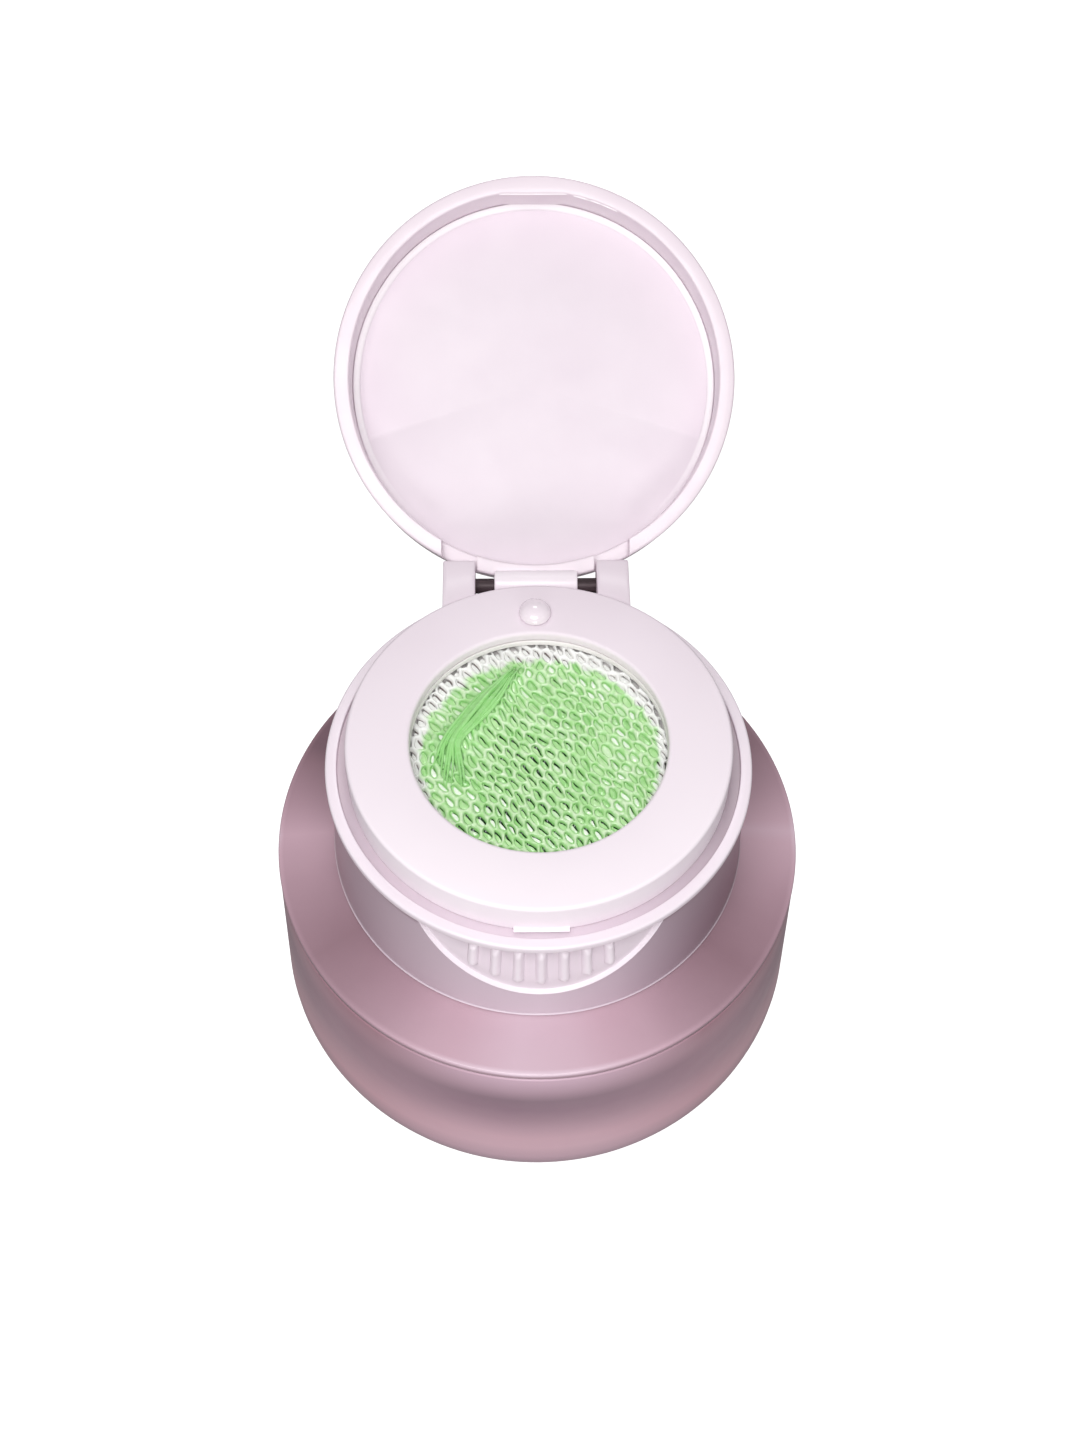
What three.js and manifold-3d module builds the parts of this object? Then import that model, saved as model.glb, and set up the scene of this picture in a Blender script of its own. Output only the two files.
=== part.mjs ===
// A flip-top net jar: a frosted double-walled jar, a screw cap with a raised ring plate,
// a net stretched across the plate's opening, and a round lid on a pinned hinge at the back.
// Millimetres, +Z up, origin in the middle of the jar's base. The hinge is on the +Y side.
// The jar is built with its lid open, leaning on the hinge's stop.

import * as THREE from 'three';
import { mergeVertices } from 'three/addons/utils/BufferGeometryUtils.js';
import Module from 'manifold-3d';

const wasm = await Module();
wasm.setup();

// ---------------------------------------------------------------- driving dimensions
const GAP = 0.3;                 // clearance between neighbouring pieces
const ROUND = 48;                // segments of the large turned pieces
const SMALL_ROUND = 24;          // segments of the small turned pieces

// jar
const BASE_R = 23;               // flat underside
const BELLY_R = 37.3;            // widest point of the jar
const BELLY_Z = 13;              // where the wall starts to round under
const SHOULDER_R = 36.1;         // sharp edge of the shoulder
const SHOULDER_EDGE_Z = 39.1;
const SHOULDER_TOP_Z = 40;
const SHOULDER_RIM = 1.2;        // height of the shoulder piece's outer rim
const JAR_WALL = 3;
const CUP_R = 20.4;              // inside of the inner cup
const CUP_WALL = 1.4;
const CUP_FLOOR_Z = 6;
const NECK_R = 22.6;             // outside of the neck, without its thread
const CUP_MOUTH_Z = 55.2;

// screw thread
const THREAD_PITCH = 4;
const THREAD_HEIGHT = 0.9;       // how far the ridge stands off its wall
const THREAD_TURNS = 1.25;
const NECK_THREAD_Z = 44.5;      // start of the ridge on the neck

// cap
const SKIRT_BASE_R = 28.2;
const SKIRT_TOP_R = 27.3;
const SKIRT_INNER_R = 25.4;
const FLANGE_R = 27.9;
const FLANGE_T = 1.4;
const FLANGE_TOP_Z = 58.9;
const GROOVE_R = 26.4;           // the flange is lower inside this radius
const GROOVE_DEPTH = 0.6;
const DECK_T = 1.5;              // flat top of the inner cap
const PLATE_R = 25;              // raised ring plate
const PLATE_TOP_Z = 63.5;
const PLATE_T = 1.5;
const OPENING_R = 16.7;
const EDGE = 0.5;                // rounding of the plate's and lid's edges

// net and its frame
const NET_R = 18.6;
const NET_RIM_Z = 60.5;          // top of the net where its frame holds it
const NET_RISE = 0.7;            // the middle of the net stands this much higher
const NET_T = 0.8;
const FRAME_R = 20.5;

// thumb recess in the front of the skirt
const RECESS_HALF = 15.5;        // half of its width at the flange
const RECESS_LOW_Z = 46.4;
const RECESS_FLOOR_R = 26.2;

// hinge
const HINGE_Y = 28.5;
const HINGE_Z = 59.1;
const PIN_R = 0.9;
const BARREL_R = 1.9;
const BARREL_HALF = 5.75;        // half of the lid's barrel, along the pin
const ARM_R = 2.6;
const ARM_IN = 8.4;              // the arms' inner and outer faces, from the middle
const ARM_OUT = 12.85;
const OPEN_ANGLE = THREE.MathUtils.degToRad(144);

// lid, described closed
const LIP_Z = FLANGE_TOP_Z + GAP;
const LID_R = FLANGE_R;
const LID_INNER_R = 25.75;
const LID_DEPTH = 6.5;           // from the lip to the lid's inner face
const LINER_T = 0.8;
const LID_TOP_T = 1.6;
const CHORD_Y = 25.4;            // flat inside the lid's front, where it meets the catch
const NOTCH_H = 3.3;             // the lip is cut this high over the hinge arms

// bumper and catch on the ring plate
const BUMPER_R = 2.15;
const BUMPER_H = 1.7;
const BUMPER_Y = 19.9;
const CATCH_WIDTH = 7;
const CATCH_REACH = 0.6;
const CATCH_H = 0.4;

// ---------------------------------------------------------------- shapes
const colours = {
  frosted: { color: 0xa98a99, roughness: 0.6 },
  pinkWhite: { color: 0xf0e4ec, roughness: 0.4 },
  ivory: { color: 0xe9e5dc, roughness: 0.5 },
  translucent: { color: 0xd2c0cb, roughness: 0.45 },
  cream: { color: 0x9fd18d, roughness: 0.3 },
  net: { color: 0xc9ecbf, roughness: 0.5 },
  rubber: { color: 0xf3f1ee, roughness: 0.8 },
  steel: { color: 0x35292e, roughness: 0.35, metalness: 0.8 },
};

/** Points of an arc in a profile, both ends included; angles in degrees. */
function arc(centreR, centreZ, radiusR, from, to, steps, radiusZ = radiusR) {
  const points = [];
  for (let i = 0; i <= steps; i++) {
    const angle = THREE.MathUtils.degToRad(from + ((to - from) * i) / steps);
    points.push([centreR + radiusR * Math.cos(angle), centreZ + radiusZ * Math.sin(angle)]);
  }
  return points;
}

/** A welded copy of a geometry with faces that point out and no collapsed triangles. */
function weld(geometry) {
  const bare = geometry.clone();
  bare.deleteAttribute('normal');
  bare.deleteAttribute('uv');
  const merged = mergeVertices(bare, 1e-4);
  const triangles = [];
  const index = merged.index.array;
  const a = new THREE.Vector3();
  const b = new THREE.Vector3();
  const c = new THREE.Vector3();
  let volume = 0;
  for (let i = 0; i < index.length; i += 3) {
    const [p, q, r] = [index[i], index[i + 1], index[i + 2]];
    if (p === q || q === r || r === p) continue;
    triangles.push(p, q, r);
    a.fromBufferAttribute(merged.attributes.position, p);
    b.fromBufferAttribute(merged.attributes.position, q);
    c.fromBufferAttribute(merged.attributes.position, r);
    volume += a.dot(b.cross(c));
  }
  if (volume < 0) triangles.reverse();
  merged.setIndex(triangles);
  return merged;
}

function toManifold(geometry) {
  const welded = weld(geometry);
  return new wasm.Manifold(new wasm.Mesh({
    numProp: 3,
    vertProperties: new Float32Array(welded.attributes.position.array),
    triVerts: new Uint32Array(welded.index.array),
  }));
}

function toGeometry(manifold) {
  const mesh = manifold.getMesh();
  const geometry = new THREE.BufferGeometry();
  geometry.setAttribute('position', new THREE.BufferAttribute(new Float32Array(mesh.vertProperties), 3));
  geometry.setIndex(new THREE.BufferAttribute(new Uint32Array(mesh.triVerts), 1));
  geometry.computeVertexNormals();
  return geometry;
}

/** A turned solid about the Z axis; the outline is [radius, height] points, closed on itself. */
function turned(outline, segments = ROUND) {
  const points = outline.map(([r, z]) => new THREE.Vector2(r, z));
  if (outline.at(0)[0] > 0 || outline.at(-1)[0] > 0) points.push(points[0].clone());
  return weld(new THREE.LatheGeometry(points, segments).rotateX(Math.PI / 2));
}

function box(x0, x1, y0, y1, z0, z1) {
  const geometry = new THREE.BoxGeometry(x1 - x0, y1 - y0, z1 - z0);
  return geometry.translate((x0 + x1) / 2, (y0 + y1) / 2, (z0 + z1) / 2);
}

/** A round bar along X. */
function barAlongX(radius, x0, x1, y, z) {
  const geometry = new THREE.CylinderGeometry(radius, radius, x1 - x0, SMALL_ROUND);
  return geometry.rotateZ(Math.PI / 2).translate((x0 + x1) / 2, y, z);
}

/** Adds and cuts geometries: the first is the body. */
function combine(body, added = [], cut = []) {
  let solid = toManifold(body);
  for (const geometry of added) solid = solid.add(toManifold(geometry));
  for (const geometry of cut) solid = solid.subtract(toManifold(geometry));
  return toGeometry(solid);
}

/** A helical ridge of trapezoid section; outward is +1 on a neck and -1 inside a cap. */
function threadRidge(wallR, outward, startZ) {
  const stepsPerTurn = 36;
  const steps = Math.round(stepsPerTurn * THREAD_TURNS);
  const root = 0.4;
  const section = [[-root, -0.95], [THREAD_HEIGHT, -0.35], [THREAD_HEIGHT, 0.35], [-root, 0.95]];
  const positions = [];
  for (let i = 0; i <= steps; i++) {
    const angle = (2 * Math.PI * i) / stepsPerTurn;
    const taper = Math.min(1, i / 4, (steps - i) / 4);
    for (const [height, z] of section) {
      const radius = wallR + outward * (height > 0 ? height * (0.15 + 0.85 * taper) : height);
      positions.push(radius * Math.cos(angle), radius * Math.sin(angle),
        startZ + z + (THREAD_PITCH * i) / stepsPerTurn);
    }
  }
  const triangles = [0, 1, 2, 0, 2, 3];
  const last = steps * 4;
  triangles.push(last, last + 2, last + 1, last, last + 3, last + 2);
  for (let i = 0; i < steps; i++) {
    for (let j = 0; j < 4; j++) {
      const a = i * 4 + j;
      const b = i * 4 + ((j + 1) % 4);
      triangles.push(a, a + 4, b, b, a + 4, b + 4);
    }
  }
  const geometry = new THREE.BufferGeometry();
  geometry.setAttribute('position', new THREE.Float32BufferAttribute(positions, 3));
  geometry.setIndex(triangles);
  return weld(geometry);
}

function piece(name, geometry, colour) {
  const mesh = new THREE.Mesh(geometry, new THREE.MeshStandardMaterial(colour));
  mesh.name = name;
  return mesh;
}

// ---------------------------------------------------------------- jar
function outerJar() {
  const top = SHOULDER_EDGE_Z - SHOULDER_RIM - GAP;
  const inside = BELLY_R - JAR_WALL;
  return turned([
    [0, 0],
    ...arc(BASE_R, BELLY_Z, BELLY_R - BASE_R, -90, 0, 8, BELLY_Z),
    [SHOULDER_R, top],
    [SHOULDER_R - JAR_WALL, top],
    ...arc(BASE_R, BELLY_Z, inside - BASE_R, 0, -90, 5, BELLY_Z - JAR_WALL),
    [0, JAR_WALL],
  ]);
}

function jarShoulder() {
  const hole = CUP_R + CUP_WALL + GAP;
  const under = SHOULDER_EDGE_Z - SHOULDER_RIM;
  const rimOut = SHOULDER_R - JAR_WALL - GAP;
  return turned([
    [hole, under],
    [rimOut - 1.4, under],
    [rimOut - 1.4, under - 3.5],
    [rimOut, under - 3.5],
    [rimOut, under],
    [SHOULDER_R, under],
    [SHOULDER_R, SHOULDER_EDGE_Z],
    [SKIRT_BASE_R, SHOULDER_TOP_Z],
    [hole, SHOULDER_TOP_Z],
  ]);
}

function innerCup() {
  const outer = CUP_R + CUP_WALL;
  const seat = SHOULDER_TOP_Z + GAP;
  const cup = turned([
    [0, CUP_FLOOR_Z - CUP_WALL],
    ...arc(outer - 5, CUP_FLOOR_Z - CUP_WALL + 5, 5, -90, 0, 4),
    [outer, seat],
    [NECK_R + 1.6, seat],
    [NECK_R + 1.6, seat + 1],
    [NECK_R, seat + 1],
    [NECK_R, CUP_MOUTH_Z],
    [CUP_R, CUP_MOUTH_Z],
    ...arc(CUP_R - 4, CUP_FLOOR_Z + 4, 4, 0, -90, 4),
    [0, CUP_FLOOR_Z],
  ]);
  return combine(cup, [threadRidge(NECK_R, 1, NECK_THREAD_Z)]);
}

function creamFill() {
  const side = CUP_R - GAP;
  const floor = CUP_FLOOR_Z + GAP;
  const level = CUP_MOUTH_Z - 1.5;
  const throat = OPENING_R - 2 * GAP;
  return turned([
    [0, floor],
    ...arc(side - 4, floor + 4, 4, -90, 0, 4),
    [side, level],
    [throat, level],
    [throat, NET_RIM_Z - NET_T - GAP],
    [0, NET_RIM_Z + NET_RISE - NET_T - GAP],
  ]);
}

// ---------------------------------------------------------------- cap
/** A ring of rectangular section. */
function flatRing(inner, outer, low, high) {
  return turned([[inner, low], [outer, low], [outer, high], [inner, high]]);
}

const LINER_RING_T = 0.8;
const DECK_UNDER_Z = CUP_MOUTH_Z + 2 * GAP + LINER_RING_T;
const DECK_TOP_Z = DECK_UNDER_Z + DECK_T;

function sealingLiner() {
  const low = CUP_MOUTH_Z + GAP;
  return flatRing(CUP_R - 2, NECK_R, low, low + LINER_RING_T);
}

function innerCap() {
  const outer = SKIRT_INNER_R - GAP;
  const inner = NECK_R + THREAD_HEIGHT + GAP;
  const low = SHOULDER_TOP_Z + 2.2;
  const cup = turned([
    [OPENING_R, DECK_UNDER_Z],
    [inner, DECK_UNDER_Z],
    [inner, low],
    [outer, low],
    [outer, DECK_TOP_Z],
    [OPENING_R, DECK_TOP_Z],
  ]);
  const ridgeStart = NECK_THREAD_Z + THREAD_PITCH / 2;
  return combine(cup, [threadRidge(inner, -1, ridgeStart)]);
}

/** The crescent-shaped pocket under the flange: a round outline cut to a set depth. */
function thumbPocket() {
  const top = FLANGE_TOP_Z - FLANGE_T;
  const drop = top - RECESS_LOW_Z;
  const radius = (RECESS_HALF ** 2 + drop ** 2) / (2 * drop);
  const disc = new THREE.CylinderGeometry(radius, radius, 30, 64);
  disc.translate(0, -30, 0);
  disc.translate(0, 0, RECESS_LOW_Z + radius);
  const core = turned([[0, 0], [RECESS_FLOOR_R, 0], [RECESS_FLOOR_R, 90], [0, 90]]);
  const above = box(-40, 40, -60, 0, top, 120);
  return combine(disc, [], [core, above]);
}

function hingeArm(side) {
  const x0 = side > 0 ? ARM_IN : -ARM_OUT;
  const x1 = side > 0 ? ARM_OUT : -ARM_IN;
  const block = box(x0, x1, PLATE_R * 0.8, HINGE_Y, FLANGE_TOP_Z - FLANGE_T, HINGE_Z + ARM_R);
  const eye = barAlongX(ARM_R, x0, x1, HINGE_Y, HINGE_Z);
  const clearOfPlate = turned([[0, 50], [PLATE_R + GAP, 50], [PLATE_R + GAP, 70], [0, 70]]);
  return combine(block, [eye], [clearOfPlate]);
}

function capShell() {
  const base = SHOULDER_TOP_Z + GAP;
  const under = FLANGE_TOP_Z - FLANGE_T;
  const shell = turned([
    [SKIRT_INNER_R, base],
    [SKIRT_BASE_R, base],
    [SKIRT_TOP_R, under],
    [FLANGE_R - 0.3, under],
    [FLANGE_R, under + 0.4],
    [FLANGE_R, FLANGE_TOP_Z - 0.4],
    [FLANGE_R - 0.4, FLANGE_TOP_Z],
    [GROOVE_R, FLANGE_TOP_Z],
    [GROOVE_R, FLANGE_TOP_Z - GROOVE_DEPTH],
    [SKIRT_INNER_R, FLANGE_TOP_Z - GROOVE_DEPTH],
  ]);
  const barrelRoom = box(-BARREL_HALF - GAP, BARREL_HALF + GAP, HINGE_Y - BARREL_R - GAP, 40,
    HINGE_Z - BARREL_R - GAP, 70);
  const pinHole = barAlongX(PIN_R + GAP, -ARM_OUT - 1, ARM_OUT - 1, HINGE_Y, HINGE_Z);
  return combine(shell, [hingeArm(-1), hingeArm(1)], [thumbPocket(), barrelRoom, pinHole]);
}

function topRing() {
  const foot = DECK_TOP_Z + GAP;
  const ring = turned([
    [OPENING_R, PLATE_TOP_Z - PLATE_T],
    [PLATE_R - PLATE_T, PLATE_TOP_Z - PLATE_T],
    [PLATE_R - PLATE_T, foot],
    [PLATE_R, foot],
    ...arc(PLATE_R - EDGE, PLATE_TOP_Z - EDGE, EDGE, 0, 90, 3),
    ...arc(OPENING_R + EDGE, PLATE_TOP_Z - EDGE, EDGE, 90, 180, 3),
  ]);
  const half = CATCH_WIDTH / 2;
  const low = FLANGE_TOP_Z - GROOVE_DEPTH + GAP;
  const tab = box(-half, half, -PLATE_R - CATCH_REACH, -PLATE_R + 1, low, low + CATCH_H);
  return combine(ring, [tab]);
}

function stopBumper() {
  const base = PLATE_TOP_Z + GAP;
  const dome = arc(0, base, BUMPER_R, 0, 90, 8, BUMPER_H - GAP);
  const geometry = turned([[0, base], ...dome.slice(0, -1), [0, PLATE_TOP_Z + BUMPER_H]], SMALL_ROUND);
  return geometry.translate(0, BUMPER_Y, 0);
}

/** The ring over the net's edge, with a wall round it that stands on the inner cap's deck. */
function netFrame() {
  const foot = DECK_TOP_Z + GAP;
  const under = NET_RIM_Z + GAP;
  const top = PLATE_TOP_Z - PLATE_T - GAP;
  return turned([
    [OPENING_R, under],
    [NET_R + GAP, under],
    [NET_R + GAP, foot],
    [FRAME_R, foot],
    [FRAME_R, top],
    [OPENING_R, top],
  ]);
}

/** The net as a thin domed disc, flat where its edge is held. */
function net() {
  const dome = [[OPENING_R, 0], [OPENING_R * 0.6, NET_RISE * 0.7], [0, NET_RISE]];
  const over = dome.map(([r, rise]) => [r, NET_RIM_Z + rise]);
  const under = over.map(([r, z]) => [r, z - NET_T]).reverse();
  return turned([...under, [NET_R, NET_RIM_Z - NET_T], [NET_R, NET_RIM_Z], ...over]);
}

function netClampRing() {
  return flatRing(OPENING_R, NET_R, DECK_TOP_Z + GAP, NET_RIM_Z - NET_T - GAP);
}

function hingePin() {
  return barAlongX(PIN_R, -ARM_OUT, ARM_OUT - 1.6, HINGE_Y, HINGE_Z);
}

// ---------------------------------------------------------------- lid, closed
function lidShell() {
  const floor = LIP_Z + LID_DEPTH + LINER_T + GAP;
  const top = floor + LID_TOP_T;
  const cup = turned([
    [0, floor],
    [LID_INNER_R, floor],
    [LID_INNER_R, LIP_Z],
    [LID_R - 0.4, LIP_Z],
    [LID_R, LIP_Z + 0.4],
    ...arc(LID_R - 1.6, top - 1.6, 1.6, 0, 90, 4),
    [0, top],
  ]);
  const fill = box(-6, 6, -LID_R + 1, -CHORD_Y, LIP_Z + 0.2, floor + 0.5);
  const barrel = barAlongX(BARREL_R, -BARREL_HALF, BARREL_HALF, HINGE_Y, HINGE_Z);
  const pinRoom = barAlongX(PIN_R + GAP, -20, 20, HINGE_Y, HINGE_Z);
  const notches = [-1, 1].map((side) => {
    const inner = ARM_IN - GAP;
    const outer = ARM_OUT + GAP;
    const x0 = side > 0 ? inner : -outer;
    const x1 = side > 0 ? outer : -inner;
    return box(x0, x1, 15, 35, LIP_Z - 1, LIP_Z + NOTCH_H);
  });
  return combine(cup, [fill, barrel], [pinRoom, ...notches]);
}

function lidLiner() {
  const face = LIP_Z + LID_DEPTH;
  const edge = LID_INNER_R - 2 * GAP - 0.2;
  return turned([
    [0, face],
    [edge - 0.4, face],
    [edge, face + 0.4],
    [edge, face + LINER_T],
    [0, face + LINER_T],
  ]);
}

// ---------------------------------------------------------------- assembly
const jar = new THREE.Group();
jar.add(
  piece('outer_jar', outerJar(), colours.frosted),
  piece('jar_shoulder', jarShoulder(), colours.frosted),
  piece('inner_cup', innerCup(), colours.pinkWhite),
  piece('cream_fill', creamFill(), colours.cream),
  piece('sealing_liner', sealingLiner(), colours.rubber),
);

const cap = new THREE.Group();
cap.add(
  piece('inner_cap', innerCap(), colours.ivory),
  piece('cap_shell', capShell(), colours.translucent),
  piece('top_ring', topRing(), colours.pinkWhite),
  piece('stop_bumper', stopBumper(), colours.pinkWhite),
  piece('net_frame', netFrame(), colours.ivory),
  piece('net', net(), colours.net),
  piece('net_clamp_ring', netClampRing(), colours.ivory),
  piece('hinge_pin', hingePin(), colours.steel),
);

/** The lid is described closed, so its pieces hang from a group that turns about the pin. */
const lid = new THREE.Group();
lid.position.set(0, HINGE_Y, HINGE_Z);
lid.rotation.x = -OPEN_ANGLE;
for (const mesh of [
  piece('lid_shell', lidShell(), colours.pinkWhite),
  piece('lid_liner', lidLiner(), colours.pinkWhite),
]) {
  mesh.position.set(0, -HINGE_Y, -HINGE_Z);
  lid.add(mesh);
}

const part = new THREE.Group();
part.add(jar, cap, lid);
export default part;
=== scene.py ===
"""A flip-top net jar: frosted jar, screw cap, net coated with green cream, open hinged lid.

Lengths are in millimetres until a mesh is made, and heights start at the jar's underside.
The lid is described closed, then turned open about the hinge pin.
"""
import math
import random

import bmesh
import bpy
from mathutils import Matrix, Vector, noise


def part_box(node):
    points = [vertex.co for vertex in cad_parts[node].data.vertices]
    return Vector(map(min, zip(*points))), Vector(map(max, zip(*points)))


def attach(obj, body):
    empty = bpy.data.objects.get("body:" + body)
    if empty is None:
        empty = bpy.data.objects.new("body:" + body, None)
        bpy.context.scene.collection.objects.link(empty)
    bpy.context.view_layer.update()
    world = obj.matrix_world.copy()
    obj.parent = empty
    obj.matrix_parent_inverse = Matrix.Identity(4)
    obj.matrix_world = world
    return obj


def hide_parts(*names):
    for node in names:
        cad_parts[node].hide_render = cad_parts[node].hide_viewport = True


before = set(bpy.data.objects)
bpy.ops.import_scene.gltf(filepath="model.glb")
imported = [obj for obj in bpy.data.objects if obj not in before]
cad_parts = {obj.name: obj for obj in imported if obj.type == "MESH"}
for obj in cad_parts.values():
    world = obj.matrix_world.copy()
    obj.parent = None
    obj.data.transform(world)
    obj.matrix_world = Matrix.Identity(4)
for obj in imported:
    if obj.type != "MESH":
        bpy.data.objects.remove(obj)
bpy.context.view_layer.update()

MM = 0.001
FULL_TURN = 2 * math.pi


def cad(node):
    """(lowest corner, highest corner) of a CAD node, in millimetres."""
    low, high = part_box(node)
    return low / MM, high / MM


# ---------------------------------------------------------------- sizes taken from the CAD nodes
BELLY_R = cad("outer_jar")[1].x
BOWL_TOP_Z = cad("outer_jar")[1].z
SHOULDER_R = cad("jar_shoulder")[1].x
SHOULDER_TOP_Z = cad("jar_shoulder")[1].z
SKIRT_BASE_R = cad("cap_shell")[1].x
SKIRT_BASE_Z = cad("cap_shell")[0].z
PLATE_R = cad("top_ring")[1].x
PLATE_TOP_Z = cad("top_ring")[1].z
PLATE_FOOT_Z = cad("top_ring")[0].z
NET_R = cad("net")[1].x
NET_LOW_Z = cad("net")[0].z
NET_HIGH_Z = cad("net")[1].z
FRAME_R = cad("net_frame")[1].x
FRAME_TOP_Z = cad("net_frame")[1].z
BUMPER_LOW, BUMPER_HIGH = cad("stop_bumper")
PIN_LOW, PIN_HIGH = cad("hinge_pin")
PIN_R = (PIN_HIGH.z - PIN_LOW.z) / 2
HINGE = Vector((0, (PIN_LOW.y + PIN_HIGH.y) / 2, (PIN_LOW.z + PIN_HIGH.z) / 2))

# ---------------------------------------------------------------- sizes repeated from the CAD source
GAP = 0.3                         # clearance between neighbouring pieces
BASE_R = 23
BELLY_Z = 13
SHOULDER_EDGE_Z = 39.1
SHOULDER_RIM = 1.2
CUP_R = 20.4
CUP_WALL = 1.4
JAR_WALL = 3
SKIRT_TOP_R = 27.3
SKIRT_INNER_R = 25.4
FLANGE_R = 27.9
FLANGE_T = 1.4
FLANGE_TOP_Z = 58.9
GROOVE_R = 26.4
GROOVE_DEPTH = 0.6
PLATE_T = 1.5
OPENING_R = 16.7
RECESS_HALF = 15.5
RECESS_LOW_Z = 46.4
RECESS_FLOOR_R = 26.2
BARREL_R = 1.9
BARREL_HALF = 5.75
ARM_R = 2.6
ARM_IN = 8.4
ARM_OUT = 12.85
OPEN_ANGLE = math.radians(144)
LIP_Z = FLANGE_TOP_Z + GAP
LID_R = FLANGE_R
LID_INNER_R = 25.75
LID_DEPTH = 6.5
LINER_T = 0.8
LID_TOP_T = 1.6
CHORD_Y = 25.4
NOTCH_H = 3.3
CREAM_LEVEL_Z = 53.7
CATCH_WIDTH = 7

# ---------------------------------------------------------------- sizes that only this model has
GROOVE_FLOOR_R = 24.4             # the groove's floor runs a little way under the ring plate
CREAM_THROAT_Z = 58.2             # lower than in the CAD, under the slots of the cream's surface
CATCH_REACH = 0.45                # shorter than in the CAD
FRAME_FOOT_Z = 60.8               # underside of the net frame's inner part
BUMPER_ASIDE = -0.27              # the bumper stands a little to the left of the middle
PIN_THICKER = 0.15                # the pin's extra radius, and how far it is moved, so that its dark colour, painted shade, fills the shaded gap at the hinge
PIN_FORWARD = 0.1
PIN_DROP = 0.25
LIP_MARKS = (15.5, 19.5, 24)      # moulding marks inside the lid's lip, in degrees from the front
MERGE = 1e-3                      # points of the net or the cream that are closer than this are one


# ---------------------------------------------------------------- camera, light, floor
def make_camera():
    """A view from in front and above, with the jar a little turned and the picture a little tilted."""
    distance = 231.03                     # from the middle of the ring plate
    elevation = math.radians(56.276)
    turn = math.radians(1.818)
    tilt = math.radians(1.094)
    aside, above = 0.473, 1.77            # how far the optical axis passes from the plate's middle
    across = Vector((1, 0, 0))
    into = Vector((0, math.cos(elevation), -math.sin(elevation)))
    upward = Vector((0, math.sin(elevation), math.cos(elevation)))
    place = -distance * into + aside * across + above * upward
    right = across * math.cos(tilt) + upward * math.sin(tilt)
    up = upward * math.cos(tilt) - across * math.sin(tilt)
    axes = Matrix((right, up, -into)).transposed()
    unturn = Matrix.Rotation(-turn, 3, "Z")
    data = bpy.data.cameras.new("camera")
    data.lens = 44.68
    data.clip_start, data.clip_end = 0.01, 20
    camera = bpy.data.objects.new("camera", data)
    camera.matrix_world = (unturn @ axes).to_4x4()
    camera.location = (unturn @ place + Vector((0, 0, PLATE_TOP_Z))) * MM
    bpy.context.collection.objects.link(camera)
    bpy.context.scene.camera = camera


def softbox(name, place, aim, size, power):
    data = bpy.data.lights.new(name, "AREA")
    data.shape = "RECTANGLE"
    data.size, data.size_y = size
    data.energy = power
    light = bpy.data.objects.new(name, data)
    light.location = place
    light.rotation_euler = (Vector(aim) - Vector(place)).to_track_quat("-Z", "Y").to_euler()
    bpy.context.collection.objects.link(light)


def make_lights():
    world = bpy.data.worlds.new("studio")
    world.use_nodes = True
    background = world.node_tree.nodes["Background"]
    background.inputs["Color"].default_value = (1.0, 0.985, 0.995, 1)
    background.inputs["Strength"].default_value = 0.30
    bpy.context.scene.world = world
    softbox("key", (-0.03, -0.17, 0.40), (0, 0.01, 0.06), (0.24, 0.16), 1.05)
    softbox("back", (0.01, 0.28, 0.44), (0, 0.0, 0.06), (0.09, 0.05), 0.14)
    softbox("rear", (0.02, 0.40, 0.10), (0, 0.03, 0.05), (0.2, 0.12), 0.2)
    softbox("front", (0.0, -0.42, 0.14), (0, 0, 0.04), (0.16, 0.12), 0.52)


def make_floor():
    bm = bmesh.new()
    bmesh.ops.create_grid(bm, x_segments=2, y_segments=2, size=1.5)
    data = bpy.data.meshes.new("floor")
    bm.to_mesh(data)
    bm.free()
    floor = bpy.data.objects.new("floor", data)
    floor.location.z = -0.0002
    material = bpy.data.materials.new("floor_paper")
    material.use_nodes = True
    shader = material.node_tree.nodes["Principled BSDF"]
    shader.inputs["Base Color"].default_value = (0.5, 0.5, 0.5, 1)
    shader.inputs["Roughness"].default_value = 0.9
    shader.inputs["Emission Color"].default_value = (1, 1, 1, 1)
    shader.inputs["Emission Strength"].default_value = 0.9
    data.materials.append(material)
    floor.visible_diffuse = False         # it looks bright, but the world alone lights the jar from below
    floor.visible_glossy = False
    bpy.context.collection.objects.link(floor)


# ---------------------------------------------------------------- materials
def rgb(red, green, blue):
    """Linear colour of 0 to 255 display values."""
    def linear(value):
        value /= 255
        return value / 12.92 if value <= 0.04045 else ((value + 0.055) / 1.055) ** 2.4
    return linear(red), linear(green), linear(blue), 1


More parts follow.
